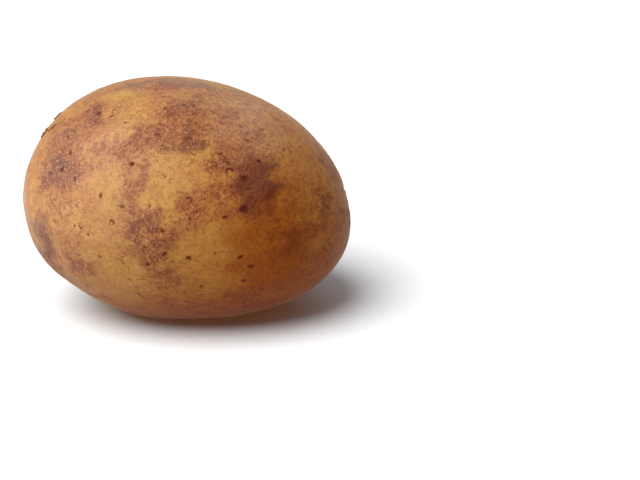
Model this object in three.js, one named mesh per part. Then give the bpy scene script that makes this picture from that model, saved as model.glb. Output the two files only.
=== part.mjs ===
/**
 * A whole table potato, as lifted and brushed off, lying on its flattest side.
 *
 * Units are millimetres. X runs along the tuber from the rose end (-X), where
 * its buds crowd together, to the stem end (+X), where it hung on its stolon.
 * Y runs across it and Z is up. The origin is on the resting plane, under the
 * middle of the tuber's bounding box.
 *
 * A tuber is one solid: skin, flesh and eyes are one growth. Its form is an egg
 * with a drooping centre line, broad swellings and hollows, the shallow eyes,
 * the stolon scar and the small flat spot that it rests on.
 */
import * as THREE from "three";
import { mergeVertices } from "three/addons/utils/BufferGeometryUtils.js";

// Driving dimensions.
const LENGTH = 95;
const WIDTH = 73;
const HEIGHT = 70;
const FLAT_DEPTH = 1.1; // how far the underside is pressed flat
const GRID = 24; // squares along each edge of the cube that is blown up

// The egg: how far the fattest section sits from mid-length, towards the rose end.
const EGG_SHIFT = 2;

// The centre line droops towards the stem end, from this station on.
const DROOP_FROM = -17;
const DROOP_PER_MM2 = 0.0017;

const DEGREES = Math.PI / 180;
const HALF_LENGTH = LENGTH / 2;
const HALF_WIDTH = WIDTH / 2;
const HALF_HEIGHT = HEIGHT / 2;

/**
 * Broad swellings (rise above 0) and hollows (rise below 0). `along` is the
 * station on X in millimetres, `around` is the angle about X in degrees: 0 is
 * the top, 90 the front (-Y), 180 the underside and 270 the back. `spread` is
 * the distance at which the swelling has faded to about a third.
 */
const SWELLINGS = [
  { along: -26, around: 300, rise: 1.3, spread: 22 },
  { along: 22, around: 250, rise: 1.6, spread: 20 },
  { along: -4, around: 265, rise: -1.5, spread: 15 },
  { along: 34, around: 10, rise: 0.6, spread: 16 },
  { along: 10, around: 312, rise: -1.0, spread: 15 },
  { along: -30, around: 205, rise: 0.9, spread: 17 },
  { along: 30, around: 110, rise: 0.7, spread: 15 },
  { along: -12, around: 158, rise: 0.8, spread: 11 },
  { along: -38, around: 140, rise: -0.5, spread: 14 },
];

/**
 * The eyes, placed as `along` and `around` above. Each is a shallow dish with a
 * brow, the old leaf scar, on its stem-end side. They crowd near the rose end.
 */
const EYES = [
  { along: 30, around: 295, depth: 1.5, width: 11 },
  { along: 12, around: 215, depth: 1.3, width: 11 },
  { along: 33, around: 185, depth: 1.1, width: 10 },
  { along: 5, around: 318, depth: 1.0, width: 10 },
  { along: -10, around: 282, depth: 1.4, width: 11 },
  { along: -20, around: 222, depth: 1.2, width: 10 },
  { along: -29, around: 325, depth: 1.0, width: 9 },
  { along: -35, around: 245, depth: 1.0, width: 8 },
  { along: -39, around: 160, depth: 0.8, width: 8 },
  { along: -43, around: 290, depth: 0.8, width: 7 },
  { along: 22, around: 62, depth: 0.5, width: 9 },
  { along: 1, around: 43, depth: 0.4, width: 9 },
  { along: -26, around: 22, depth: 0.5, width: 8 },
];

// The scar of the stolon, a dimple at the stem end.
const SCAR = { offAxis: 6, around: 250, depth: 2.2, spread: 5 };

/**
 * The point of the plain egg in a direction from its middle.
 * @param {THREE.Vector3} d unit direction
 * @returns {THREE.Vector3}
 */
function eggPoint(d) {
  return new THREE.Vector3(
    d.x * (HALF_LENGTH + EGG_SHIFT * d.x),
    d.y * HALF_WIDTH,
    d.z * HALF_HEIGHT,
  );
}

/**
 * The point of the plain egg at a station and an angle about X.
 * @param {number} along station on X, in millimetres
 * @param {number} around angle from the top towards the front, in degrees
 * @returns {THREE.Vector3}
 */
function surfaceSpot(along, around) {
  // Solves along = dx * (HALF_LENGTH + EGG_SHIFT * dx) for the direction's x.
  const root = Math.sqrt(HALF_LENGTH ** 2 + 4 * EGG_SHIFT * along);
  const dx = (root - HALF_LENGTH) / (2 * EGG_SHIFT);
  const ring = Math.sqrt(1 - dx * dx);
  return eggPoint(
    new THREE.Vector3(
      dx,
      -ring * Math.sin(around * DEGREES),
      ring * Math.cos(around * DEGREES),
    ),
  );
}

/** A bell curve: 1 at distance 0, falling to a third at `spread`. */
const bell = (distance, spread) => Math.exp(-((distance / spread) ** 2));

/**
 * How far an eye pushes the skin at a point out (above 0) or in (below 0).
 * @param {THREE.Vector3} point on the plain egg
 * @param {{along: number, around: number, depth: number, width: number}} eye
 * @returns {number}
 */
function eyeRelief(point, eye) {
  const offset = point.clone().sub(surfaceSpot(eye.along, eye.around));
  const lengthways = offset.x;
  const crossways = Math.hypot(offset.y, offset.z);
  const half = eye.width / 2;
  const dish = bell(lengthways, half * 0.6) * bell(crossways, half);
  const brow = bell(lengthways - half * 0.8, half * 0.45) * bell(crossways, half * 1.1);
  return eye.depth * (0.45 * brow - dish);
}

/** The dimple of the stolon scar at a point on the plain egg. */
function scarRelief(point) {
  const centre = new THREE.Vector3(
    HALF_LENGTH + EGG_SHIFT,
    -SCAR.offAxis * Math.sin(SCAR.around * DEGREES),
    SCAR.offAxis * Math.cos(SCAR.around * DEGREES),
  );
  return -SCAR.depth * bell(point.distanceTo(centre), SCAR.spread);
}

/** How far the centre line has dropped at a station on X. */
const droop = (x) => DROOP_PER_MM2 * Math.max(0, x - DROOP_FROM) ** 2;

/**
 * The tuber's skin in a direction from its middle, before it is set down.
 * @param {THREE.Vector3} d unit direction
 * @returns {THREE.Vector3}
 */
function tuberPoint(d) {
  const point = eggPoint(d);
  const outward = new THREE.Vector3(
    point.x / HALF_LENGTH ** 2,
    point.y / HALF_WIDTH ** 2,
    point.z / HALF_HEIGHT ** 2,
  ).normalize();
  let relief = scarRelief(point);
  for (const swelling of SWELLINGS) {
    const spot = surfaceSpot(swelling.along, swelling.around);
    relief += swelling.rise * bell(point.distanceTo(spot), swelling.spread);
  }
  for (const eye of EYES) relief += eyeRelief(point, eye);
  const grown = point.clone().addScaledVector(outward, relief);
  grown.z -= droop(grown.x);
  return grown;
}

/**
 * A cube's grid blown up into the tuber, as one closed skin. The tangent evens
 * out the squares, which would otherwise bunch at the cube's corners.
 * @returns {THREE.BufferGeometry}
 */
function tuberGeometry() {
  const cube = new THREE.BoxGeometry(2, 2, 2, GRID, GRID, GRID);
  cube.deleteAttribute("normal");
  cube.deleteAttribute("uv");
  const skin = mergeVertices(cube);
  const position = skin.getAttribute("position");
  const even = (t) => Math.tan((t * Math.PI) / 4);
  for (let i = 0; i < position.count; i++) {
    const onCube = new THREE.Vector3().fromBufferAttribute(position, i);
    const direction = onCube.set(even(onCube.x), even(onCube.y), even(onCube.z)).normalize();
    position.setXYZ(i, ...tuberPoint(direction).toArray());
  }
  return skin;
}

/**
 * Presses the underside flat and moves the tuber to its frame: the flat spot at
 * height 0, the middle of the bounding box over the origin.
 * @param {THREE.BufferGeometry} skin
 */
function setDown(skin) {
  skin.computeBoundingBox();
  const floor = skin.boundingBox.min.z + FLAT_DEPTH;
  const position = skin.getAttribute("position");
  for (let i = 0; i < position.count; i++) {
    position.setZ(i, Math.max(position.getZ(i), floor));
  }
  const middle = skin.boundingBox.getCenter(new THREE.Vector3());
  skin.translate(-middle.x, -middle.y, -floor);
  skin.computeVertexNormals();
}

const skinMaterial = new THREE.MeshStandardMaterial({
  color: 0xc99a5b,
  roughness: 0.55,
  metalness: 0,
});

function makePotato() {
  const skin = tuberGeometry();
  setDown(skin);
  const mesh = new THREE.Mesh(skin, skinMaterial);
  mesh.name = "potato";
  return mesh;
}

const group = new THREE.Group();
group.add(makePotato());

export default group;
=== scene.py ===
"""A whole table potato lying on a pale studio floor.

The skin is a round cube shrunk on to a rounded and slightly filled-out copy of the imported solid. Its mesh
is made finer where the small marks are, then swelled, grained, pitted and creased. The same marks are kept
on the skin as attributes, which the finish reads for its colours. A place on the skin is a station along
the length in millimetres and an angle around it in degrees: 0 on top, 90 in front, 180 underneath and 270
behind. The sizes of marks, patches and eyes are in millimetres too. Every other length is in metres.
"""

import logging
import math
import random
from dataclasses import dataclass
from enum import Enum

import bpy
import numpy as np
from mathutils import Matrix, Vector


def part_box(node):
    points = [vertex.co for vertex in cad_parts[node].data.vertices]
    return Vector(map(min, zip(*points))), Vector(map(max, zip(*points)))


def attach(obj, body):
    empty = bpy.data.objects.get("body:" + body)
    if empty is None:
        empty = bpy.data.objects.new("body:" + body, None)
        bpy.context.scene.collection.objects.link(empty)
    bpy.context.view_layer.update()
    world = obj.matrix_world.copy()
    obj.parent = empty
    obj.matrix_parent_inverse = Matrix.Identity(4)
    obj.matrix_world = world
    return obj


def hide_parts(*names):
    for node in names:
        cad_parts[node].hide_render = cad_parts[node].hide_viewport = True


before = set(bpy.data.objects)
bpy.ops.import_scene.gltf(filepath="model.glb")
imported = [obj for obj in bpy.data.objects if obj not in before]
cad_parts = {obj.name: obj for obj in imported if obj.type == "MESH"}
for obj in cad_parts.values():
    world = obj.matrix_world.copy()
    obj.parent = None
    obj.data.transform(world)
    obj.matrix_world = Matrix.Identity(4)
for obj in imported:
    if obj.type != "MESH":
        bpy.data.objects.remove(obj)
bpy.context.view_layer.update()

log = logging.getLogger("potato")

MM = 0.001
NODE = "potato"
BODY = "root"
SEED = 17

# Where the Mix node keeps its colour sockets, whose names its other sockets share.
MIX_FACTOR = 0
MIX_FIRST = 6
MIX_SECOND = 7
MIX_COLOUR = 2

# The part of the skin whose marks are listed one by one: up to this station, and between these angles.
FRONT_END = 25
FRONT_TOP = -30
FRONT_BOTTOM = 135

Colour = tuple[float, float, float, float]
Socket = bpy.types.NodeSocket
Thing = bpy.types.Object


def paint(red: int, green: int, blue: int) -> Colour:
    """A colour given on a 0 to 255 scale, made linear for the shaders.

    Args:
        red: Red, 0 to 255.
        green: Green, 0 to 255.
        blue: Blue, 0 to 255.

    Returns:
        The linear colour with full alpha.
    """
    linear = [((part / 255 + 0.055) / 1.055) ** 2.4 for part in (red, green, blue)]
    return (linear[0], linear[1], linear[2], 1.0)


# ---- Marks on the skin ----


class Look(Enum):
    """What a small mark is."""

    PIT = "pit"  # an open pore
    RING = "ring"  # a pore healed over, with a dark ring round a pale middle
    CRACK = "crack"  # a narrow crease or scratch
    SCAB = "scab"  # a raised corky scab


class Stain(Enum):
    """What lies over the clean skin: stains, with some sheen and shade painted in among them. The value
    names the skin's attribute.
    """

    SCURF = "scurf"  # rough purple-brown patches
    BLUSH = "blush"  # reddish, finely netted skin
    RUST_AND_PAINTED_SHADE = "rust"  # smooth, dark red-brown skin; on the right of the front it is painted shade
    OCHRE_AND_PAINTED_SHADE = "ochre"  # deep golden-brown skin; low on the right of the front and underneath it is painted shade
    BLOOM = "bloom"  # a faint pale tint: painted sheen on the listed patches, a pale bloom where drawn at random
    DUST_AND_PAINTED_HAZE = "dust"  # grey, dry soil; along the top and the rose end's lower rim it is also a painted grey haze
    STREAK = "streak"  # fine lengthwise lines
    CLEAN = "clean"  # smooth yellow skin


@dataclass(frozen=True)
class Mark:
    """A small mark: its place, length and width, how dark it is, its turn from lengthwise and its look."""

    along: float
    around: float
    long: float
    wide: float
    tone: float = 1.0
    turn: float = 0.0
    look: Look = Look.PIT


@dataclass(frozen=True)
class Patch:
    """A stained patch: its place, its half sizes, its strength and its turn from lengthwise."""

    along: float
    around: float
    long: float
    wide: float
    strength: float = 1.0
    turn: float = 0.0


@dataclass(frozen=True)
class Eye:
    """An eye with its brow on the stem-end side: its place, its dish's width and how many buds it has."""

    along: float
    around: float
    width: float
    buds: int = 1


# Where each kind of mark is placed, and its length, width, tone and turn, as in Mark.
MARK_ROWS = {
    Look.PIT: (
        # Open pores and specks on the right of the front.
        (17.8, 78, 2.2, 1.8, 2.2), (17.7, 63, 2.4, 1.8, 1, 20), (21.9, 53, 1.5, 1.3, 1.2),
        (24, 49, 1.1, 0.7, 0.9), (12.9, 81.5, 1.6, 1.2, 1.1), (20.8, 83, 0.8, 1, 0.9),
        (9.9, 98, 1.1, 1, 1), (16.9, 101, 1.5, 1.3, 1.1), (19.3, 107, 2, 1.2, 1.2),
        (22.3, 102, 1.2, 1, 0.5), (17.3, 115, 1.7, 1.2, 1, 15), (6, 115.5, 1.2, 1.1, 0.9),
        (5.8, 121, 1.4, 0.8, 0.6), (1, 119.5, 1.2, 0.7, 0.6), (17.5, 130, 1.2, 0.8, 0.8),
        (3, 99.5, 1.6, 1.2, 1.2, -25), (7.5, 73, 0.9, 0.7, 1), (10.5, 75.5, 0.7, 1, 0.7),
        (15, 77.5, 0.8, 0.8, 0.6), (5.3, 67, 0.7, 0.7, 0.6),
        # The chain of specks down the middle.
        (2.7, 77.5, 0.7, 0.9, 0.8), (2.7, 80, 0.7, 1, 0.9), (3.6, 81.6, 1.1, 0.8, 0.9, 30),
        (5.3, 78.5, 0.8, 1, 0.8), (3.2, 84, 1.1, 0.6, 0.8), (3, 86.2, 0.9, 1, 0.9),
        # Specks about the upper right.
        (11, 51.5, 1.5, 0.7, 1.1), (16.8, 33.5, 1.2, 0.8, 0.8), (22.7, 31, 1.2, 0.8, 0.7),
        (9, 27.5, 1.3, 0.6, 0.7), (8.8, 38.5, 1.4, 1, 0.7), (1, 25.3, 1, 0.9, 0.9),
        (3.6, 25.2, 0.8, 0.9, 0.9), (5.6, 27.6, 1.8, 0.8, 0.8), (0.6, 36.8, 1.2, 0.9, 0.7),
        # Pores and smudges left of the middle.
        (-12.2, 57.5, 1.6, 1.3, 1.3, 10), (-9.6, 58.5, 1.4, 0.8, 0.7, -15), (-7.3, 76, 1.3, 1.2, 0.7),
        (-3.8, 86.8, 1.7, 1.5, 1, -40), (-3.6, 97.2, 1.4, 1.5, 1, 40), (-8.9, 94.6, 1.8, 1.5, 0.8),
        (-8.3, 103, 1.2, 1.2, 0.9), (-5.3, 56, 1.1, 1.2, 0.5, 40), (-8, 53.5, 0.9, 0.7, 0.6),
        (-4.4, 49, 1.2, 0.6, 0.8), (-5.6, 43, 1.8, 1.3, 0.6), (-4.3, 28, 2.1, 1, 0.7, 25),
        (-8.3, 28, 1.6, 1, 0.35, -20), (-11.5, 39, 0.8, 0.6, 0.7), (-14.4, 35.5, 1.2, 1, 0.6),
        (-10.4, 66.5, 1, 1.6, 0.7), (-15.4, 69, 0.8, 1.4, 0.5), (-14.9, 76.5, 1.4, 1.7, 0.8, 10),
        (-13.6, 76, 0.6, 1.2, 0.5, -10), (-20.8, 71.5, 1, 1.8, 1),
        # The rose end.
        (-31.3, 35, 1.3, 1.9, 0.9, 20), (-29.5, 33, 1.4, 0.8, 0.6), (-30.3, 46.5, 1, 1.4, 1.1),
        (-32.2, 56, 1.3, 1.7, 1), (-35.9, 56.5, 1.5, 1.1, 0.8), (-33.6, 45, 1, 1.1, 0.6),
        (-36.8, 41, 0.9, 1.4, 0.7), (-28.4, 62.5, 1.2, 1.4, 0.8, 30), (-31.4, 66.5, 0.8, 1.1, 0.8),
        (-24.9, 66, 0.8, 1, 0.6), (-28.8, 88, 0.7, 1.3, 0.8), (-25, 84.5, 0.8, 0.8, 0.6),
        (-24.7, 91.5, 0.7, 1.1, 1.1), (-21.7, 102.5, 1.3, 1.2, 0.9), (-20.3, 105.5, 0.7, 0.6, 0.6),
        (-28, 105, 1.1, 1.1, 0.8), (-27.3, 107.8, 0.8, 1.3, 0.7, 30), (-13.8, 113, 1.2, 1.1, 0.9),
        (-24.3, 14, 1.7, 0.6, 0.8, 20), (-26.6, 18.5, 2, 0.8, 0.9), (-32, 17, 1.4, 0.6, 0.7),
        (-22.8, 24.5, 1.8, 1.7, 1, 20), (-22.3, 27.5, 1.2, 0.6, 0.9), (-19, 29.5, 1.5, 1, 0.9, 30),
    ),
    Look.RING: (
        # Pores healed over.
        (13.8, 60, 2.1, 1.6, 1, 20), (9.8, 57, 1.5, 1.3, 0.7, -60), (3.1, 73.5, 1.7, 1.5, 0.85, -20),
        (5.8, 75.6, 1.2, 1.1, 0.5, 120), (4, 63.8, 1.4, 1.1, 0.4, 90), (-3.8, 63.5, 1.5, 1.2, 0.75, -40),
        (-1.3, 65.2, 1.7, 1.3, 0.75, 70), (-18.2, 26.5, 1.7, 1.6, 0.8, 60),
        (-17.9, 84, 1.5, 1.7, 0.9, -30), (-26.9, 87.3, 1.6, 1.4, 0.85, 150), (3, 45.5, 1.8, 1.4, 0.7, 40),
        (4.8, 37.5, 1.6, 1.3, 0.7, -80), (4.2, 52, 1.8, 1.3, 0.8, 180),
    ),
    Look.SCAB: (
        # Corky scabs on the upper edge of the rose end.
        (-40.2, 1, 3.2, 1.6, 1, 51), (-38.6, -4.5, 7.5, 0.9, 0.5, 51), (-37, -10, 2.4, 1.4, 1, 51),
        (-37.4, 12, 3.4, 1.2, 0.8, 40), (-34, 15, 1.8, 0.8, 0.7, 20),
    ),
    Look.CRACK: (
        # Creases and scratches.
        (4.9, 101.2, 3.8, 0.8, 0.6, -20), (13.4, 56, 2.6, 1.1, 0.8, -10), (18.7, 41.5, 3.4, 0.7, 1, 0),
        (24, 43.5, 2, 0.6, 0.8, 0), (14.8, 24, 2, 0.6, 0.9, 0), (11.8, 34.5, 1.8, 0.6, 0.7, 0),
        (-7.8, 45.5, 1.9, 0.7, 1.1, 0), (-8.4, 47.2, 1.5, 0.5, 0.8, 0), (-3.1, 73, 0.7, 3.8, 0.4, 15),
        (-2.8, 119.5, 2, 0.5, 0.7, 0), (-32, 101.5, 0.7, 2, 0.8, 20), (-31.2, 106.5, 0.7, 1.8, 0.8, 20),
        (-30.6, 111.5, 3.8, 0.9, 0.9, -45), (-31.8, 110.5, 2, 0.7, 0.7, -45),
        (-35.6, 96, 0.6, 2.4, 0.5, 10), (-15.3, 103, 0.9, 1.9, 0.8, 15),
        (-13.7, 106.5, 1.5, 0.8, 0.7, -50), (-11.6, 123, 3.8, 1, 1, -55), (-24.5, 21, 0.5, 3, 0.6, 10),
    ),
}
MARKS = [Mark(*row, look=look) for look, rows in MARK_ROWS.items() for row in rows]

# Where each stain is placed, and its half sizes, strength and turn, as in Patch.
PATCH_ROWS = {
    Stain.SCURF: (
        # The large grey-purple patch near the top of the front, dark along its lower left.
        (1.6, 50, 3.2, 3.4, 1.9), (3.4, 44, 2.6, 3.6, 1.7), (-2, 50, 3.2, 3, 0.9), (4.2, 33, 2.6, 3, 1),
        (1.6, 22, 4.8, 2.4, 0.9), (0.6, 30, 4, 4, 0.6), (-6.6, 20.5, 2.4, 1.2, 0.6),
        # The two rough patches low in the front, joined by thinner scurf.
        (-10.4, 85.5, 2.4, 3.2, 1.4), (-13.2, 90, 3.6, 2, 1, -15), (-8.8, 95, 3.2, 2.8, 1),
        (-4.4, 87, 3, 2.6), (-5.4, 92, 3.8, 3.6, 0.7), (-5.4, 102, 3.6, 3.4, 1),
        (-3, 109, 3.4, 3.4, 0.85), (-5, 114, 2.4, 2.6, 0.7), (-12, 67, 2.6, 3.4, 0.55),
        (-13.6, 76, 2.6, 2.6, 0.6),
        # The middle of the rose end, and its upper edge.
        (-33.5, 46, 4, 3.4, 1.4), (-32.4, 57, 3.6, 4, 1.25), (-36.8, 57, 3, 3, 1.1),
        (-37, 42, 2.4, 4, 0.6), (-28.6, 63, 2.6, 3, 0.7), (-36.8, 12, 4.2, 1.6, 0.95, 30),
        (-32.5, 17, 3.4, 1.2, 0.6, 10), (-23.4, 24.5, 3.4, 2.6, 1.1), (-26.8, 19, 2.6, 1.2, 0.8, 10),
        (-19.2, 29.5, 2.6, 1.8, 0.7, 20), (-24.6, 13, 1.8, 0.9, 0.8, 20), (-31, 34, 2, 2.8, 0.9, 20),
        # Pinkish skin across the middle of the front.
        (-12.8, 44, 3.2, 2.6, 0.5), (-6, 42, 2.6, 2.4, 0.6), (-17, 51.5, 3.4, 2.2, 0.4),
        (-11.4, 58, 4, 1.6, 0.5, -10),
        # The lower edge of the rose end.
        (-25, 112.5, 2.4, 1.6, 0.7, -50), (-29, 121, 4.4, 1.6, 0.6, -30), (-21.5, 138, 5, 1.5, 0.7),
        (-38.6, 110, 2.6, 8, 1.3), (-41, 95, 1.8, 5, 0.7),
        # The right of the front, darker towards the stem end; that darkening is partly painted shade.
        (17.4, 61, 2.6, 3, 0.8), (22, 62, 3.5, 4, 0.6), (14, 57.5, 3.8, 2.6, 0.7, -20),
        (22, 54, 3.4, 3, 0.8), (19, 36.5, 3.4, 2.4, 0.8), (19, 42, 3, 1.6, 0.5),
        # Along the top.
        (3.6, 5, 4, 2.4, 0.9), (5.2, 17, 3, 1.2, 0.8),
        (-12.5, 0, 5, 3.4, 0.9), (-18, 4, 4, 2.2, 0.5), (-5, 4, 5.5, 4, 0.7),
    ),
    Stain.BLUSH: (
        # The rose end.
        (-33.5, 47, 7, 9, 1.4), (-31.5, 60, 8, 6, 1.1), (-36, 30, 5, 8, 0.9), (-26.5, 42, 3, 7, 0.8),
        (-30, 28, 11, 9, 0.7), (-34, 76, 7, 5, 0.6), (-38, 112, 5, 10, 1), (-24.5, 25, 6.5, 5, 1, -10),
        # Pinkish skin across the middle of the front.
        (-13.5, 50, 8, 5.5, 0.85, 10), (-8.5, 43, 6.5, 3, 1.1), (-2.5, 43, 5, 4), (-11, 67, 3.6, 5.5),
        (-11.5, 79, 4.8, 4.5), (-6, 92, 7, 8.5, 0.75), (4.4, 79, 3.4, 6.5), (3, 30, 9, 8),
        (-9, 14, 5, 4, 0.9), (13, 30, 9, 7, 0.6, -10), (22, 28, 9, 10, 0.5), (12, 70, 4, 8, 0.7),
        (12, 56, 5, 4, 0.9),
        # Low on the front, and underneath.
        (-25.2, 112, 3.2, 3.2, 1.1, -30), (-30, 113, 5, 3, 0.9, -40),
        (-12, 146, 9, 4, 0.5), (0, 134, 12, 6, 0.7), (18, 128, 7, 6, 0.9),
        # The right of the front, darker towards the stem end; that darkening is partly painted shade.
        (20, 60, 8, 11, 1.2),
        # Along the top.
        (-6, 8, 9, 6, 0.9), (10, 10, 10, 6, 0.6),
    ),
    Stain.RUST_AND_PAINTED_SHADE: (
        # The dark side towards the stem end: dark red-brown skin with painted shade laid over it.
        (19.5, 63, 3.4, 4.4, 1.3), (23, 66, 5.5, 8, 1.5), (19.5, 73, 3.6, 5, 1.2), (25, 53, 4, 5, 0.6),
    ),
    Stain.OCHRE_AND_PAINTED_SHADE: (
        # Painted shade in part: deeper golden-brown on the lower right of the front, and on the underside.
        (25, 98, 13, 22, 1.3), (6, 144, 28, 13, 1.3), (-20, 122, 14, 8, 0.15),
    ),
    Stain.BLOOM: (
        # Painted sheen: a faint pale tint where the light falls, on the left of the front and across the
        # top.
        (-24, 60, 26, 26, 1.4), (4, 0, 36, 20, 1.3), (18, 18, 14, 16, 2),
    ),
    Stain.DUST_AND_PAINTED_HAZE: (
        # Along the top, and on the lower edge of the rose end: dry soil, and a painted grey haze of
        # reflection on those rims.
        (-13.5, 0, 7, 4), (-26, 5, 8, 3, 0.7), (-5, -2, 7, 3.2, 0.9), (3, 2, 9, 4, 0.9),
        (-40, 108, 4.5, 9, 1), (18, -2, 9, 4, 0.7),
    ),
    Stain.STREAK: (
        # Over the upper right and the top.
        (16, 30, 14, 16), (6, 20, 10, 8, 0.7), (-9, 46, 6, 5, 0.6), (-12, 2, 12, 5, 0.8),
    ),
    Stain.CLEAN: (
        # Smooth yellow skin between.
        (-16, 16, 8, 5), (-3, 68, 7, 7, 1.1), (-18, 71, 6, 8, 1.2), (-20, 99, 9, 9, 0.7),
        (10, 100, 11, 12, 1.1), (6, 57, 4, 4, 0.9), (-17, 110, 7, 7, 1.2), (-19, 125, 10, 7, 1.1),
    ),
}
PATCHES = [(stain, Patch(*row)) for stain, rows in PATCH_ROWS.items() for row in rows]

# How often each kind of mark and stain is drawn where none is listed.
MARK_ODDS = {Look.PIT: 6, Look.RING: 2, Look.CRACK: 1}
STAIN_ODDS = {
    Stain.SCURF: 7, Stain.BLUSH: 10, Stain.RUST_AND_PAINTED_SHADE: 2, Stain.OCHRE_AND_PAINTED_SHADE: 3,
    Stain.BLOOM: 4, Stain.DUST_AND_PAINTED_HAZE: 3, Stain.STREAK: 3, Stain.CLEAN: 8,
}

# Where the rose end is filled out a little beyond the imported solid, as shares of the skin's fill_rise.
FULLER = (
    Patch(-28, -18, 12, 10, 0.45),
    Patch(-41, 154, 7, 8, 0.75),
    Patch(-38, 140, 12, 12, 0.3),
    Patch(-46, 80, 12, 14, 0.3),
)

EYES = [Eye(*row) for row in (
    (28, 295, 11, 2), (10, 215, 11, 1), (31, 185, 10, 1), (3, 318, 10, 1), (-12, 282, 11, 2),
    (-22, 222, 10, 1), (-31, 325, 9, 1), (-37, 245, 8, 1), (-37, 192, 8, 1), (-45, 290, 7, 1),
)]


# ---- Shader maths ----


class Value:
    """A number that varies over a surface; arithmetic on it adds Math nodes."""

    def __init__(self, graph: "Graph", socket: Socket) -> None:
        """Keeps the socket that the number comes out of."""
        self.graph = graph
        self.socket = socket

    def __add__(self, other: "Value | float") -> "Value":
        """The sum with another value."""
        return self.graph.math("ADD", self, other)

    def __sub__(self, other: "Value | float") -> "Value":
        """This value less another."""
        return self.graph.math("SUBTRACT", self, other)

    def __rsub__(self, other: float) -> "Value":
        """A number less this value."""
        return self.graph.math("SUBTRACT", other, self)

    def __mul__(self, other: "Value | float") -> "Value":
        """The product with another value."""
        return self.graph.math("MULTIPLY", self, other)

    __radd__ = __add__


class Graph:
    """The nodes of a material or of the world, written as expressions on values."""

    def __init__(self, owner: bpy.types.Material | bpy.types.World) -> None:
        """Empties the owner's nodes.

        Args:
            owner: The material or the world that the nodes belong to.
        """
        owner.use_nodes = True
        self.tree = owner.node_tree
        self.tree.nodes.clear()

    def node(self, kind: str, settings: dict | None = None, inputs: dict | None = None) -> bpy.types.Node:
        """Adds a node.

        Args:
            kind: The node's type.
            settings: Its own properties, set first.
            inputs: Values, links or numbers for its sockets, by name or index.

        Returns:
            The new node.
        """
        node = self.tree.nodes.new(kind)
        for name, setting in (settings or {}).items():
            setattr(node, name, setting)
        for key, given in (inputs or {}).items():
            if isinstance(given, Value):
                given = given.socket
            if isinstance(given, Socket):
                self.tree.links.new(given, node.inputs[key])
            else:
                node.inputs[key].default_value = given
        return node

    def math(self, operation: str, first: "Value | float", second: "Value | float") -> Value:
        """A Math node on two values.

        Args:
            operation: The Math node's operation.
            first: The first value.
            second: The second value.

        Returns:
            The result.
        """
        node = self.node("ShaderNodeMath", {"operation": operation}, {0: first, 1: second})
        return Value(self, node.outputs[0])

    def attribute(self, name: str) -> Value:
        """A number kept on the mesh under that name."""
        node = self.node("ShaderNodeAttribute", {"attribute_name": name})
        return Value(self, node.outputs["Fac"])

    def ramp(self, value: Value, low: float, high: float) -> Value:
        """A smooth step from 0 at low to 1 at high.

        Args:
            value: The value to step.
            low: Where the step starts.
            high: Where the step ends.

        Returns:
            The step, from 0 to 1.
        """
        limits = {"Value": value, "From Min": low, "From Max": high}
        node = self.node("ShaderNodeMapRange", {"interpolation_type": "SMOOTHSTEP"}, limits)
        return Value(self, node.outputs["Result"])

    def millimetres(self, stretch: float = 1.0) -> Socket:
        """Object coordinates in millimetres.

        Args:
            stretch: How many times longer a pattern is drawn along the length.

        Returns:
            The vector socket.
        """
        place = self.node("ShaderNodeTexCoord").outputs["Object"]
        scale = (1 / (MM * stretch), 1 / MM, 1 / MM)
        return self.node("ShaderNodeMapping", {}, {"Vector": place, "Scale": scale}).outputs["Vector"]

    def noise(self, place: Socket, size: float, detail: float = 3.0, rough: float = 0.5) -> Value:
        """Soft noise about one half.

        Args:
            place: The vector that it is drawn on.
            size: The size of its lumps, in that vector's units.
            detail: How many finer layers it has.
            rough: How strong the finer layers are.

        Returns:
            The noise, about 0.2 to 0.8.
        """
        inputs = {"Vector": place, "Scale": 1 / size, "Detail": detail, "Roughness": rough}
        return Value(self, self.node("ShaderNodeTexNoise", {}, inputs).outputs["Fac"])

    def cells(self, place: Socket, size: float) -> Value:
        """Distance from the middles of random cells.

        Args:
            place: The vector that they are drawn on.
            size: The cells' size, in that vector's units.

        Returns:
            The distance, in cells.
        """
        node = self.node("ShaderNodeTexVoronoi", {}, {"Vector": place, "Scale": 1 / size})
        return Value(self, node.outputs["Distance"])

    def warp(self, place: Socket, size: float, reach: float) -> Socket:
        """A place pushed about by noise, so that patterns on it lose their straight edges.

        Args:
            place: The vector to push about.
            size: The size of the waves.
            reach: How far it is pushed.

        Returns:
            The vector socket.
        """
        wave = self.node("ShaderNodeTexNoise", {}, {"Vector": place, "Scale": 1 / size, "Detail": 2.0})
        inputs = {0: wave.outputs["Color"], 1: (2 * reach,) * 3, 2: place}
        return self.node("ShaderNodeVectorMath", {"operation": "MULTIPLY_ADD"}, inputs).outputs["Vector"]

    def mix(self, factor: "Value | float", first: "Colour | Socket", second: "Colour | Socket") -> Socket:
        """A mix of two colours.

        Args:
            factor: How much of the second shows.
            first: The colour below.
            second: The colour above.

        Returns:
            The colour socket.
        """
        inputs = {MIX_FACTOR: factor, MIX_FIRST: first, MIX_SECOND: second}
        return self.node("ShaderNodeMix", {"data_type": "RGBA"}, inputs).outputs[MIX_COLOUR]


# ---- Finishes ----


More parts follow.
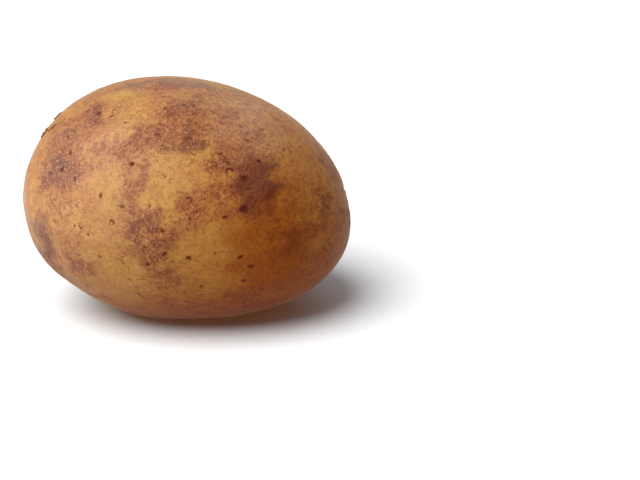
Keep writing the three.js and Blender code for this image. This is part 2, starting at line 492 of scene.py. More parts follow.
class Pattern:
    """The skin's pattern: how strongly each part of it shows."""

    def __init__(self, graph: Graph) -> None:
        """Works the pattern out from noise and from the fields kept on the skin.

        Args:
            graph: The material's nodes.
        """
        place = graph.millimetres()
        ragged = graph.warp(place, 1.8, 0.7)
        self.broad = graph.noise(place, 15, 2)
        self.middle = graph.noise(ragged, 4.2, 4, 0.6)
        self.small = graph.noise(ragged, 1.2, 4, 0.7)
        self.fine = graph.noise(place, 0.42, 3, 0.7)
        self.blots = graph.noise(graph.warp(place, 3, 1.5), 2.1, 3, 0.6)
        self.grains = graph.cells(ragged, 0.8)
        ridges = graph.noise(graph.warp(graph.millimetres(2.2), 1.5, 0.5), 1.3, 3, 0.6) - 0.5
        hairs = 1 - graph.ramp(graph.math("ABSOLUTE", ridges, 0.0), 0.0, 0.045)
        self.hairs = hairs * graph.ramp(self.small, 0.38, 0.52)
        lines = graph.noise(graph.millimetres(8), 0.7, 3, 0.6)
        fields = {stain: graph.attribute(stain.value) for stain in Stain}
        self.streaks = graph.ramp(lines, 0.53, 0.65) * graph.ramp(fields[Stain.STREAK], 0.1, 0.6)
        broken = (self.middle - 0.5) * 0.9 + (self.small - 0.5) * 0.9
        stippled = (self.small - 0.5) * 1.6 + (self.fine - 0.5) * 1.6
        scurf = fields[Stain.SCURF]
        self.scurf = graph.ramp(scurf + broken * 0.6 + stippled * 0.25, 0.05, 1.1)
        self.core = graph.ramp(scurf + broken * 0.8 + stippled * 0.25, 0.5, 1.7)
        self.stain = graph.ramp(scurf + (self.middle - 0.5) * 0.6, 0.0, 1.3)
        self.clean = graph.ramp(fields[Stain.CLEAN] + broken * 0.4, 0.15, 0.8)
        self.blush = graph.ramp(fields[Stain.BLUSH] + broken * 0.8, 0.1, 0.9)
        self.rust = graph.ramp(fields[Stain.RUST_AND_PAINTED_SHADE] + broken * 0.7, 0.0, 1.5)
        self.ochre = graph.ramp(fields[Stain.OCHRE_AND_PAINTED_SHADE] + broken * 0.15, 0.0, 1.0)
        self.dust = graph.ramp(fields[Stain.DUST_AND_PAINTED_HAZE] + broken * 0.6, 0.2, 0.85)
        self.bloom = fields[Stain.BLOOM]
        self.pore = graph.attribute("pore")
        self.rim = graph.attribute("rim")
        self.eye = graph.attribute("eye")
        self.cork = graph.attribute("cork")
        self.trench = graph.attribute("trench")


@dataclass(frozen=True)
class SkinFinish:
    """Thin yellow-brown skin: smooth where clean, netted and granular where stained, dark in its pores, with
    some sheen and shade painted in.
    """

    yellow: Colour = paint(141, 103, 42)
    tan: Colour = paint(136, 92, 40)
    reddish: Colour = paint(117, 64, 29)
    netting: Colour = paint(92, 38, 8)
    purple: Colour = paint(92, 48, 24)
    purple_dark: Colour = paint(52, 28, 20)
    # Deep golden-brown, also laid on as painted shade low on the right and underneath.
    ochre: Colour = paint(120, 66, 7)
    # Dark red-brown, also laid on as painted shade on the right of the front.
    rust: Colour = paint(66, 20, 2)
    # Grey of the dry soil, also used for the painted haze along the rims.
    soil_and_painted_haze: Colour = paint(96, 68, 54)
    # The pale tint of the painted sheen and of the bloom.
    bloom: Colour = paint(236, 232, 228)
    pale: Colour = paint(190, 148, 108)
    cork: Colour = paint(118, 86, 56)
    pore: Colour = paint(64, 19, 2)

    def material(self) -> bpy.types.Material:
        """Builds the skin's material.

        Returns:
            The material.
        """
        material = bpy.data.materials.new("potato_skin")
        graph = Graph(material)
        pattern = Pattern(graph)
        relief = {"Height": self._height(pattern), "Distance": MM, "Strength": 1.0}
        normal = graph.node("ShaderNodeBump", {}, relief).outputs["Normal"]
        roughness = 0.5 + (pattern.middle - 0.5) * 0.2 + pattern.scurf * 0.25 + pattern.blush * 0.1
        skin = graph.node("ShaderNodeBsdfPrincipled", {}, {
            "Base Color": self._colour(graph, pattern),
            "Roughness": roughness + pattern.dust * 0.2 + pattern.pore * 0.3,
            "Normal": normal,
            "IOR": 1.2,
            "Subsurface Weight": 0.04,
            "Subsurface Radius": (1.0, 0.45, 0.2),
            "Subsurface Scale": 1.5 * MM,
            "Sheen Weight": 0.13,
            "Sheen Roughness": 0.35,
            "Sheen Tint": (1.0, 0.76, 0.58, 1.0),
        })
        graph.node("ShaderNodeOutputMaterial", {}, {"Surface": skin.outputs["BSDF"]})
        return material

    def _colour(self, graph: Graph, pattern: Pattern) -> Socket:
        """Lays the stains over the clean skin, and the pores over them.

        Args:
            graph: The material's nodes.
            pattern: The skin's pattern.

        Returns:
            The colour.
        """
        mottle = pattern.broad + (pattern.middle - 0.5) * 0.5 - pattern.clean * 0.25
        colour = graph.mix(graph.ramp(mottle, 0.26, 0.62), self.yellow, self.tan)
        small, fine = pattern.small - 0.5, pattern.fine - 0.5
        unclean = 1 - pattern.clean * 0.45
        reddening = graph.ramp(pattern.middle, 0.36, 0.8) * (1 - pattern.clean * 0.8)
        smudges = graph.ramp(pattern.blots, 0.53, 0.72) * (0.55 - pattern.clean * 0.25)
        specks = graph.ramp(pattern.small + fine * 0.9, 0.5, 0.7) * unclean
        grit = graph.ramp(pattern.fine, 0.52, 0.7)
        gaps = graph.ramp(pattern.grains, 0.42, 0.72)
        glints = (1 - graph.ramp(pattern.grains, 0.1, 0.42)) * graph.ramp(pattern.fine, 0.42, 0.62)
        glinting = (pattern.scurf * 0.4 + pattern.blush * 0.3 + 0.12) * (1 - pattern.rust)
        cork = graph.ramp(pattern.cork + small * 0.8, 0.3, 0.7) * graph.ramp(pattern.fine, 0.3, 0.5)
        layers = (
            (reddening * 0.6, self.reddish),
            # Golden-brown skin, and painted shade low on the right and underneath.
            (pattern.ochre * 0.9, self.ochre),
            (pattern.blush * 0.65, self.reddish),
            (smudges, self.netting),
            (specks * (pattern.blush * 0.4 + 0.58), self.netting),
            (pattern.hairs * (pattern.blush * 0.35 + 0.6) * unclean, self.netting),
            (grit * (pattern.blush * 0.25 + 0.32), self.netting),
            (pattern.streaks * 0.45, self.netting),
            # Dark red-brown skin, and painted shade on the right of the front.
            (pattern.rust * (0.6 + pattern.small * 0.6), self.rust),
            (pattern.stain * 0.45, self.purple),
            (pattern.scurf * 0.42, self.purple),
            (pattern.core * 0.62, self.purple_dark),
            (gaps * (pattern.scurf * 0.65 + pattern.blush * 0.35), self.netting),
            (glints * glinting, self.pale),
            # Dry soil, and the painted grey haze along the top and the rose end's lower rim.
            (pattern.dust * 0.6, self.soil_and_painted_haze),
            # Painted sheen where the light falls, and a pale bloom elsewhere.
            (pattern.bloom * 0.03, self.bloom),
            (graph.ramp(pattern.eye + small, 0.2, 1.0) * 0.6, self.netting),
            (cork, self.cork),
            (graph.ramp(pattern.trench + small * 0.6 + fine * 0.4, 0.2, 0.9) * 0.75, self.pore),
            (pattern.rim * 0.12, self.pale),
            (graph.ramp(pattern.pore + fine * 0.9 + small * 0.5, 0.1, 1.0) * 0.92, self.pore),
        )
        for share, laid in layers:
            colour = graph.mix(share, colour, laid)
        return colour

    def _height(self, pattern: Pattern) -> Value:
        """The fine relief, in millimetres.

        Args:
            pattern: The skin's pattern.

        Returns:
            The height.
        """
        rough = pattern.scurf * 0.2 + pattern.blush * 0.14 + pattern.cork * 0.25
        return (
            (pattern.middle - 0.5) * 0.14
            + (pattern.small - 0.5) * (rough + 0.09)
            + (pattern.fine - 0.5) * (rough * 0.9 + 0.07)
            + (0.4 - pattern.grains) * rough
            - pattern.hairs * 0.03
            - pattern.streaks * 0.05
        )


@dataclass(frozen=True)
class FloorFinish:
    """White studio board."""

    white: Colour = (0.52, 0.52, 0.52, 1.0)

    def material(self) -> bpy.types.Material:
        """Builds the board's material.

        Returns:
            The material.
        """
        material = bpy.data.materials.new("studio_board")
        graph = Graph(material)
        board = graph.node("ShaderNodeBsdfPrincipled", {}, {
            "Base Color": self.white,
            "Roughness": 0.9,
            "Specular IOR Level": 0.0,
        })
        graph.node("ShaderNodeOutputMaterial", {}, {"Surface": board.outputs["BSDF"]})
        return material


# ---- The potato ----


@dataclass
class Spot:
    """A point on the skin with its normal and the two directions along the skin, lengthwise and across."""

    point: np.ndarray
    normal: np.ndarray
    lengthwise: np.ndarray
    across: np.ndarray

    def distance(self, points: np.ndarray, long: float, wide: float, turn: float = 0.0) -> np.ndarray:
        """How far points lie from the spot, as a share of an oval's half sizes.

        Args:
            points: The points, one to a row.
            long: The oval's half length.
            wide: The oval's half width.
            turn: The oval's turn from lengthwise, in degrees.

        Returns:
            The distances: 1 on the oval's edge.
        """
        ahead, aside, above = self.local(points, turn)
        return np.sqrt((ahead / long) ** 2 + (aside / wide) ** 2 + (above / max(long, wide)) ** 2)

    def local(self, points: np.ndarray, turn: float = 0.0) -> tuple[np.ndarray, np.ndarray, np.ndarray]:
        """Points in the spot's own frame: along its length, across it and above the skin.

        Args:
            points: The points, one to a row.
            turn: The frame's turn from lengthwise, in degrees.

        Returns:
            The three coordinates of every point.
        """
        cosine = math.cos(math.radians(turn))
        sine = math.sin(math.radians(turn))
        offset = points - self.point
        ahead = offset @ (cosine * self.lengthwise + sine * self.across)
        aside = offset @ (cosine * self.across - sine * self.lengthwise)
        return ahead, aside, offset @ self.normal


class Ground:
    """The smooth body under the skin, on which places are found."""

    def __init__(self, core: Thing) -> None:
        """Keeps the body and the line that angles are measured round.

        Args:
            core: The smooth body.
        """
        low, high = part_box(NODE)
        self.core = core
        self.middle = (low + high) / 2
        self.outside = (high - low).length

    def spot(self, along: float, around: float) -> Spot | None:
        """The place on the skin at a station and an angle.

        Args:
            along: The station along the length, in millimetres.
            around: The angle around it, in degrees.

        Returns:
            The spot, or None where a line from the middle meets no skin.
        """
        angle = math.radians(around)
        outward = Vector((0, -math.sin(angle), math.cos(angle)))
        start = Vector((along * MM, self.middle.y, self.middle.z)) + outward * self.outside
        return self._cast(start, -outward)

    def end_spot(self, across: float, up: float) -> Spot:
        """The place on the stem end that faces along the length.

        Args:
            across: How far it is behind the middle, in millimetres.
            up: Its height over the floor, in millimetres.

        Returns:
            The spot.
        """
        return self._cast(Vector((self.outside, across * MM, up * MM)), Vector((-1, 0, 0)))

    def _cast(self, start: Vector, direction: Vector) -> Spot | None:
        """The first skin that a line meets.

        Args:
            start: Where the line starts, outside the body.
            direction: Which way it goes.

        Returns:
            The spot, or None.
        """
        hit, point, normal, _ = self.core.ray_cast(start, direction)
        if not hit:
            return None
        lengthwise = Vector((1, 0, 0)) if abs(normal.x) < 0.9 else Vector((0, 1, 0))
        across = normal.cross(lengthwise).normalized()
        return Spot(np.array(point), np.array(normal), np.array(across.cross(normal)), np.array(across))


@dataclass
class Skin:
    """The potato's skin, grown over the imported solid."""

    first_cuts: int = 2
    rounds: int = 5
    core_rounds: int = 2
    egg_half: float = 0.55
    fill_rise: float = 1.3 * MM
    swell: float = 0.5 * MM
    swell_size: float = 13 * MM
    grain: float = 0.14 * MM
    grain_size: float = 2.6 * MM
    scurf_rise: float = 0.22 * MM
    scurf_size: float = 1.1 * MM
    pit_depth: float = 0.13 * MM
    rim_rise: float = 0.02 * MM
    crack_depth: float = 0.06 * MM
    scab_rise: float = 0.65 * MM
    # Two waves over the skin, in radians per metre, that tear the scabs' edges.
    tear: tuple[float, float, float] = (5200, 3100, -4300)
    cross_tear: tuple[float, float, float] = (-2700, 4600, 3900)
    # The stem end's scar. Its middle is placed behind and below the body's middle, in millimetres.
    scar_half: float = 3.4 * MM
    scar_across: float = 5.6
    scar_below: float = 2.0
    dish_depth: float = 0.5 * MM
    trench_depth: float = 0.4 * MM
    stub_rise: float = 0.6 * MM
    crease_depth: float = 0.35 * MM
    brow_rise: float = 0.5 * MM
    fold_depth: float = 0.3 * MM
    bud_rise: float = 0.45 * MM
    bud_size: float = 1.3 * MM
    bud_gap: float = 2.6 * MM
    # How far round an eye, the scar (as a share of its half width) and a mark the mesh is made finer.
    eye_reach: float = 4.2 * MM
    scar_reach: float = 2.2
    mark_margin: float = 0.7 * MM
    scattered_marks: int = 80
    scattered_patches: int = 70
    scatter_end: float = 46

    def build(self) -> Thing:
        """Makes the skin and its attributes.

        Returns:
            The skin, at the origin.
        """
        core = self._core()
        ground = Ground(core)
        marks = MARKS + self._scatter_marks()
        spots = [(mark, ground.spot(mark.along, mark.around)) for mark in marks]
        spots = [(mark, spot) for mark, spot in spots if spot is not None]
        eyes = [(eye, ground.spot(eye.along, eye.around)) for eye in EYES]
        skin = self._round_cube()
        self._shrink(skin, core)
        scar = ground.end_spot(self.scar_across, ground.middle.z / MM - self.scar_below)
        marked = [(spot, max(mark.long, mark.wide) / 2 * MM) for mark, spot in spots]
        round_scar = (scar, self.scar_reach * self.scar_half)
        self._refine(skin, [(spot, self.eye_reach) for _, spot in eyes] + [round_scar])
        self._refine(skin, [(spot, half + self.mark_margin) for spot, half in marked])
        self._refine(skin, marked[:len(MARKS)])
        self._stain(skin, ground)
        self._displace(skin, "swell", self.swell, texture_size=self.swell_size)
        self._displace(skin, "grain", self.grain, texture_size=self.grain_size)
        self._displace(skin, "scurf", self.scurf_rise, Stain.SCURF.value, self.scurf_size)
        self._mark(skin, spots)
        self._carve_eyes(skin, eyes)
        self._scar(skin, scar)
        self._set_down(skin)
        bpy.data.objects.remove(core)
        return skin

    def _core(self) -> Thing:
        """A merged, rounded and filled-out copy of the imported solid.

        Returns:
            The copy.
        """
        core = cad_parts[NODE].copy()
        core.data = core.data.copy()
        core.parent = None
        bpy.context.scene.collection.objects.link(core)
        pick(core)
        bpy.ops.object.mode_set(mode="EDIT")
        bpy.ops.mesh.select_all(action="SELECT")
        bpy.ops.mesh.remove_doubles(threshold=MM / 1000)
        bpy.ops.mesh.tris_convert_to_quads(face_threshold=math.pi, shape_threshold=math.pi)
        bpy.ops.object.mode_set(mode="OBJECT")
        add_modifier(core, "SUBSURF", levels=self.core_rounds, render_levels=self.core_rounds)
        self._fill_out(core)
        return core

    def _fill_out(self, core: Thing) -> None:
        """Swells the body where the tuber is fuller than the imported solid.

        Args:
            core: The body.
        """
        ground = Ground(core)
        points = points_of(core)
        fuller = np.zeros(len(points))
        for patch in FULLER:
            spot = ground.spot(patch.along, patch.around)
            fuller += patch.strength * hump(spot.distance(points, patch.long * MM, patch.wide * MM))
        self._press(core, "fuller", fuller, self.fill_rise)

    def _round_cube(self) -> Thing:
        """A cube rounded to an egg just larger than the potato, with even squares and no poles.

        Returns:
            The egg.
        """
        low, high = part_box(NODE)
        bpy.ops.object.select_all(action="DESELECT")
        bpy.ops.mesh.primitive_cube_add(size=2)
        skin = bpy.context.object
        skin.name = "potato_skin"
        bpy.ops.object.mode_set(mode="EDIT")
        bpy.ops.mesh.subdivide(number_cuts=self.first_cuts)
        bpy.ops.mesh.select_all(action="SELECT")
        bpy.ops.transform.tosphere(value=1.0)
        bpy.ops.object.mode_set(mode="OBJECT")
        add_modifier(skin, "SUBSURF", levels=self.rounds, render_levels=self.rounds)
        add_modifier(skin, "CAST", factor=1.0, radius=1.0)
        bpy.ops.object.mode_set(mode="EDIT")
        bpy.ops.mesh.select_all(action="SELECT")
        bpy.ops.transform.resize(value=tuple((high - low) * self.egg_half))
        bpy.ops.transform.translate(value=tuple((high + low) / 2))
        bpy.ops.object.mode_set(mode="OBJECT")
        return skin

    def _shrink(self, skin: Thing, core: Thing) -> None:
        """Shrinks the egg on to the body.

        Args:
            skin: The egg.
            core: The body.
        """
        add_modifier(
            skin, "SHRINKWRAP", target=core, wrap_method="PROJECT",
            use_negative_direction=True, use_positive_direction=True,
        )
        pick(skin)
        bpy.ops.object.shade_smooth()

    def _refine(self, skin: Thing, places: list[tuple[Spot, float]]) -> None:
        """Splits the squares near some places into four.

        Args:
            skin: The skin.
            places: Each place and how far round it to split.
        """
        faces = skin.data.polygons
        centres = np.empty(len(faces) * 3)
        faces.foreach_get("center", centres)
        centres = centres.reshape(-1, 3)
        near = np.zeros(len(faces), bool)
        for spot, reach in places:
            near |= np.linalg.norm(centres - spot.point, axis=1) < reach
        pick(skin)
        bpy.ops.object.mode_set(mode="EDIT")
        bpy.ops.mesh.select_mode(type="FACE")
        bpy.ops.mesh.select_all(action="DESELECT")
        bpy.ops.object.mode_set(mode="OBJECT")
        faces.foreach_set("select", near)
        bpy.ops.object.mode_set(mode="EDIT")
        bpy.ops.mesh.subdivide(number_cuts=1, quadcorner="INNERVERT")
        bpy.ops.object.mode_set(mode="OBJECT")

    def _scatter_marks(self) -> list[Mark]:
        """Small marks at random where none is listed.

        Returns:
            The marks.
        """
        draw = random.Random(SEED)
        marks = []
        while len(marks) < self.scattered_marks:
            along, around = draw.uniform(-self.scatter_end, self.scatter_end), draw.uniform(0, 360)
            width = draw.uniform(0.7, 1.6)
            look = draw.choices(tuple(MARK_ODDS), tuple(MARK_ODDS.values()))[0]
            tone = draw.uniform(0.5, 1.1)
            if hidden(along, around):
                long = width * (2.2 if look is Look.CRACK else draw.uniform(1.0, 1.5))
                wide = width * (0.5 if look is Look.CRACK else 1.0)
                marks.append(Mark(along, around, long, wide, tone, draw.uniform(-40, 40), look))
        return marks

    def _scatter_patches(self) -> list[tuple[Stain, Patch]]:
        """Stained patches at random where none is listed.

        Returns:
            Each patch and its stain.
        """
        draw = random.Random(SEED + 1)
        patches = []
        while len(patches) < self.scattered_patches:
            along, around = draw.uniform(-self.scatter_end, self.scatter_end), draw.uniform(0, 360)
            stain = draw.choices(tuple(STAIN_ODDS), tuple(STAIN_ODDS.values()))[0]
            half = draw.uniform(2.0, 5.0) if stain is Stain.SCURF else draw.uniform(4.0, 12.0)
            if hidden(along, around):
                wide = half * draw.uniform(0.5, 1.0)
                strength = draw.uniform(0.55, 1.0)
                patches.append((stain, Patch(along, around, half, wide, strength, draw.uniform(-40, 40))))
        return patches

    def _stain(self, skin: Thing, ground: Ground) -> None:
        """Stores how strong each stain, painted sheen and painted shade is at every point of the skin.

        Args:
            skin: The skin.
            ground: The body, to find places on.
        """
        points = wander(points_of(skin), wave=7 * MM, reach=1.1 * MM)
        fields = {stain: np.zeros(len(points)) for stain in Stain}
        for stain, patch in PATCHES + self._scatter_patches():
            spot = ground.spot(patch.along, patch.around)
            if spot is not None:
                reach = spot.distance(points, patch.long * MM, patch.wide * MM, patch.turn)
                lift(fields[stain], patch.strength * hump(reach))
        for stain, strength in fields.items():
            store(skin, stain.value, strength)
        weigh(skin, Stain.SCURF.value, fields[Stain.SCURF])

    def _mark(self, skin: Thing, spots: list[tuple[Mark, Spot]]) -> None:
        """Presses the pores and creases into the skin, and raises their rims and the scabs.

        Args:
            skin: The skin.
            spots: Each mark and its spot.
        """
        points = wander(points_of(skin), wave=2.2 * MM, reach=0.1 * MM)
        pit, crack, rim, scab, dark = (np.zeros(len(points)) for _ in range(5))
        for mark, spot in spots:
            reach = spot.distance(points, mark.long / 2 * MM, mark.wide / 2 * MM, mark.turn)
            bowl = np.clip(1 - reach ** 2 / 1.6, 0, 1) ** 1.5
            stained = np.exp(-(reach ** 2) * 0.9)
            size = min(1.0, mark.wide / 1.6)
            if mark.look is Look.PIT:
                lift(pit, bowl * size)
                lift(dark, stained * mark.tone)
                lift(rim, hump(reach, 1.6, 0.35) * 0.3)
            elif mark.look is Look.RING:
                ahead, aside, _ = spot.local(points, mark.turn)
                open_side = np.clip(0.75 + 0.35 * aside / (np.hypot(ahead, aside) + MM / 100), 0, 1)
                ring = hump(reach, 0.85, 0.45) * open_side
                lift(crack, ring * size * 0.35)
                lift(dark, ring * mark.tone)
                lift(rim, bowl * 0.3)
            elif mark.look is Look.SCAB:
                _, aside, _ = spot.local(points, mark.turn)
                free_edge = np.clip(0.55 + aside / (mark.wide * MM), 0.15, 1)
                torn = np.sin(points @ self.tear) + np.sin(points @ self.cross_tear)
                edge = np.clip((1.3 + 0.3 * torn - reach) / 0.4, 0, 1)
                lift(scab, edge * free_edge * (0.8 + 0.15 * torn) * mark.tone)
                lift(dark, np.clip(1.6 + 0.4 * torn - reach, 0, 0.75) * mark.tone)
            else:
                lift(crack, bowl)
                lift(dark, stained * 0.8 * mark.tone)
        store(skin, "pore", dark)
        store(skin, "rim", rim)
        self._press(skin, "pit", pit, -self.pit_depth)
        self._press(skin, "crack", crack, -self.crack_depth)
        self._press(skin, "rim_rise", rim, self.rim_rise)
        self._press(skin, "scab", scab, self.scab_rise)

    def _carve_eyes(self, skin: Thing, eyes: list[tuple[Eye, Spot]]) -> None:
        """Gives each eye its brow, the fold under the brow and its buds.

        Args:
            skin: The skin.
            eyes: Each eye and its spot.
        """
        points = wander(points_of(skin), wave=5 * MM, reach=0.35 * MM)
        tint, brow, fold, bud = (np.zeros(len(points)) for _ in range(4))
        for eye, spot in eyes:
            half = eye.width / 2 * MM
            ahead, aside, _ = spot.local(points)
            reach = spot.distance(points, half * 0.8, half)
            facing = np.clip((ahead / (np.hypot(ahead, aside) + MM / 100) - 0.1) / 0.7, 0, 1)
            lift(brow, hump(reach, 0.75, 0.28) * facing)
            arc = hump(reach, 0.45, 0.12) * facing
            lift(fold, arc)
            lift(tint, np.maximum(hump(reach, 0, 0.5) * 0.5, arc))
            for number in range(eye.buds):
                shift = (number - (eye.buds - 1) / 2) * self.bud_gap
                lift(bud, hump(ahead, 0, self.bud_size) * hump(aside, shift, self.bud_size) * (reach < 1))
        store(skin, "eye", tint)
        self._press(skin, "brow", brow, self.brow_rise)
        self._press(skin, "fold", fold, -self.fold_depth)
        self._press(skin, "bud", bud, self.bud_rise)

    def _scar(self, skin: Thing, spot: Spot) -> None:
        """Gives the stem end its scar: a dry corky stub in a dark-rimmed dish that creases run into.

        Args:
            skin: The skin.
            spot: The middle of the scar.
        """
        points = wander(points_of(skin), wave=3 * MM, reach=0.45 * MM)
        ahead, aside, _ = spot.local(points)
        reach = spot.distance(points, self.scar_half, self.scar_half)
        angle = np.arctan2(aside, ahead)
        folds = (0.5 + 0.5 * np.cos(9 * angle + 2 * np.sin(2 * angle))) ** 3
        creases = folds * hump(reach, 1.5, 0.8)
        trench = hump(reach, 0.72, 0.2)
        store(skin, "cork", np.clip(1.3 - reach, 0, 0.6))
        store(skin, "trench", np.maximum(trench, creases * 0.6))
        self._press(skin, "dish", np.exp(-((reach / 1.7) ** 4)), -self.dish_depth)
        self._press(skin, "trench_depth", trench, -self.trench_depth)
        self._press(skin, "stub", np.exp(-((reach / 0.5) ** 6)), self.stub_rise)
        self._press(skin, "crease", creases, -self.crease_depth)

    def _press(self, skin: Thing, name: str, weights: np.ndarray, distance: float) -> None:
        """Moves the skin in or out where the weights say.

        Args:
            skin: The skin.
            name: A name for the weights.
            weights: How far each point goes, from 0 to 1.
            distance: How far a whole weight moves, outward.
        """
        weigh(skin, name, weights)
        self._displace(skin, name, distance, name)

    def _displace(self, skin: Thing, name: str, distance: float, group: str = "",
                  texture_size: float = 0.0) -> None:
        """Moves the skin along its normals.

        Args:
            skin: The skin.
            name: A name for the texture.
            distance: How far it moves, outward.
            group: The vertex group that limits it, if any.
            texture_size: The size of the lumps, or 0 for an even move.
        """
        settings = {"strength": distance, "mid_level": 0.0, "direction": "NORMAL", "vertex_group": group}
        if texture_size:
            lumps = bpy.data.textures.new(name, "CLOUDS")
            lumps.noise_scale = texture_size
            lumps.noise_depth = 3
            settings.update({"texture": lumps, "texture_coords": "LOCAL", "mid_level": 0.5})
        add_modifier(skin, "DISPLACE", **settings)

    def _set_down(self, skin: Thing) -> None:
        """Keeps the skin on and above the floor.

        Args:
            skin: The skin.
        """
        points = points_of(skin)
        points[:, 2] = np.maximum(points[:, 2], 0)
        skin.data.vertices.foreach_set("co", points.ravel())
        skin.data.update()


def hidden(along: float, around: float) -> bool:
    """Whether a place lies off the part of the skin that has its marks listed one by one."""
    return along > FRONT_END or (around - FRONT_TOP) % 360 > FRONT_BOTTOM - FRONT_TOP


def hump(values: np.ndarray, middle: float = 0.0, width: float = 1.0) -> np.ndarray:
    """A bell curve: 1 where the values meet the middle, about a third where they are a width away."""
    return np.exp(-(((values - middle) / width) ** 2))


def lift(field: np.ndarray, values: np.ndarray) -> None:
    """Raises a field to the values wherever they are higher."""
    np.maximum(field, values, out=field)


def pick(thing: Thing) -> None:
    """Selects one object alone and makes it active.

    Args:
        thing: The object.
    """
    bpy.ops.object.select_all(action="DESELECT")
    thing.select_set(True)
    bpy.context.view_layer.objects.active = thing


def add_modifier(thing: Thing, kind: str, **settings: object) -> None:
    """Adds a modifier and applies it.

    Args:
        thing: The object.
        kind: The modifier's type.
        settings: The modifier's properties.
    """
    pick(thing)
    modifier = thing.modifiers.new(kind.lower(), kind)
    for name, setting in settings.items():
        setattr(modifier, name, setting)
    bpy.ops.object.modifier_apply(modifier=modifier.name)


def points_of(thing: Thing) -> np.ndarray:
    """A mesh's points.

    Args:
        thing: The mesh object.

    Returns:
        The points, one to a row.
    """
    points = np.empty(len(thing.data.vertices) * 3)
    thing.data.vertices.foreach_get("co", points)
    return points.reshape(-1, 3)


def wander(points: np.ndarray, wave: float, reach: float) -> np.ndarray:
    """Pushes points about by smooth waves, so that round fields measured from them come out ragged.

    Args:
        points: The points, one to a row.
        wave: The length of the waves.
        reach: How far a point is pushed.

    Returns:
        The pushed points.
    """
    draw = np.random.default_rng(SEED)
    count = 10
    moved = points.copy()
    for _ in range(count):
        heading = draw.normal(size=3)
        heading *= 2 * math.pi / wave * draw.uniform(0.7, 1.5) / np.linalg.norm(heading)
        push = draw.normal(size=3) * reach / math.sqrt(count)
        moved += np.sin(points @ heading + draw.uniform(0, 2 * math.pi))[:, None] * push * 1.4
    return moved


def store(thing: Thing, name: str, values: np.ndarray) -> None:
    """Keeps a number for every point of a mesh.

    Args:
        thing: The object.
        name: The attribute's name.
        values: One number to a point.
    """
    layer = thing.data.attributes.new(name, "FLOAT", "POINT")
    layer.data.foreach_set("value", values.astype(np.float32))


def weigh(thing: Thing, name: str, weights: np.ndarray) -> None:
    """Makes a vertex group of the points whose weight isn't nothing.

    Args:
        thing: The object.
        name: The group's name.
        weights: One weight to a point.
    """
    group = thing.vertex_groups.new(name=name)
    least = 0.004
    for index in np.flatnonzero(weights > least).tolist():
        group.add([index], min(1.0, float(weights[index])), "REPLACE")


# ---- The studio ----


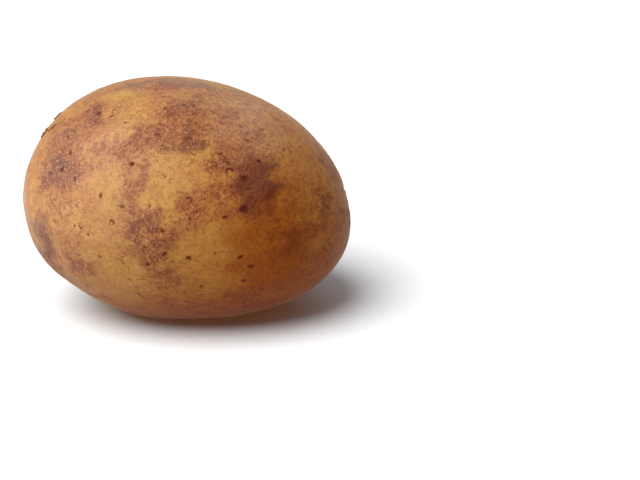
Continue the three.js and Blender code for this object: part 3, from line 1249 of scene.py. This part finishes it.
@dataclass
class Studio:
    """A white floor, soft lights and the camera."""

    floor_size: float = 60.0
    key_side: tuple[float, float, float] = (-0.4, -0.36, 0.84)
    key_spread: float = 52.0
    key_energy: float = 6.9
    elevation: float = 20.0
    distance: float = 0.4406
    lens: float = 85.0
    sensor: float = 36.0
    aim_right: float = 0.0384
    aim_down: float = 0.0129
    warm_side: tuple[float, float, float] = (0.85, -0.35, -0.4)
    warm_start: float = -0.1
    warm_end: float = 0.75
    surround_white: Colour = (1.52, 1.56, 1.64, 1.0)
    surround_warm: Colour = (0.4, 0.135, 0.0, 1.0)
    # How bright the surround is, from straight down (0) through level (0.5) to straight up (1).
    levels: tuple[tuple[float, float], ...] = (
        (0, 0.2), (0.1, 1.8), (0.22, 3.0), (0.46, 1.8), (0.53, 0.3), (1, 0.5),
    )

    def build(self) -> None:
        """Makes the floor, the lights and the camera."""
        low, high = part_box(NODE)
        middle = (low + high) / 2
        self._floor()
        self._camera(middle)
        self._key()
        self._surround()
        bpy.context.scene.view_settings.view_transform = "Standard"

    def _surround(self) -> None:
        """Lights the room all round: brightest low down, as off a white board, warm from the lower right."""
        world = bpy.data.worlds.new("surround")
        graph = Graph(world)
        direction = graph.node("ShaderNodeTexCoord").outputs["Generated"]
        sides = {0: direction, 1: Vector(self.warm_side).normalized()}
        facing = graph.node("ShaderNodeVectorMath", {"operation": "DOT_PRODUCT"}, sides)
        warmth = graph.ramp(Value(graph, facing.outputs["Value"]), self.warm_start, self.warm_end)
        upward = Value(graph, graph.node("ShaderNodeSeparateXYZ", {}, {"Vector": direction}).outputs["Z"])
        level = graph.node("ShaderNodeFloatCurve", {}, {"Value": upward * 0.5 + 0.5})
        points = level.mapping.curves[0].points
        points[0].location, points[1].location = self.levels[0], self.levels[-1]
        for place in self.levels[1:-1]:
            points.new(*place)
        level.mapping.update()
        room = graph.node("ShaderNodeBackground", {}, {
            "Color": graph.mix(warmth, self.surround_white, self.surround_warm),
            "Strength": level.outputs["Value"],
        })
        graph.node("ShaderNodeOutputWorld", {}, {"Surface": room.outputs["Background"]})
        bpy.context.scene.world = world

    def _floor(self) -> None:
        """Lays the floor under the resting face."""
        bpy.ops.object.select_all(action="DESELECT")
        bpy.ops.mesh.primitive_plane_add(size=self.floor_size)
        floor = bpy.context.object
        floor.name = "floor"
        floor.data.materials.append(FloorFinish().material())
        floor.visible_diffuse = False

    def _key(self) -> None:
        """Hangs the one broad soft light, far off, so that it lights the whole floor alike."""
        data = bpy.data.lights.new("key", "SUN")
        data.energy = self.key_energy
        data.angle = math.radians(self.key_spread)
        key = bpy.data.objects.new("key", data)
        key.rotation_euler = (-Vector(self.key_side)).to_track_quat("-Z", "Y").to_euler()
        bpy.context.scene.collection.objects.link(key)

    def _camera(self, middle: Vector) -> None:
        """Sets up the camera, with the potato on the left of its view.

        Args:
            middle: The middle of the potato.
        """
        data = bpy.data.cameras.new("camera")
        data.lens = self.lens
        data.sensor_width = self.sensor
        camera = bpy.data.objects.new("camera", data)
        tilt = math.radians(90 - self.elevation)
        turn = Matrix.Rotation(tilt, 4, "X")
        aim = middle + turn @ Vector((self.aim_right, -self.aim_down, self.distance))
        camera.matrix_world = Matrix.Translation(aim) @ turn
        bpy.context.scene.collection.objects.link(camera)
        bpy.context.scene.camera = camera


def main() -> None:
    """Builds the potato and its studio and reports each piece."""
    logging.basicConfig(level=logging.INFO, format="%(name)s: %(message)s")
    Studio().build()
    log.info("studio: floor, lights and camera")
    skin = Skin().build()
    skin.data.materials.append(SkinFinish().material())
    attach(skin, BODY)
    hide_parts(NODE)
    log.info("skin: %d faces", len(skin.data.polygons))


if __name__ == "__main__":
    main()
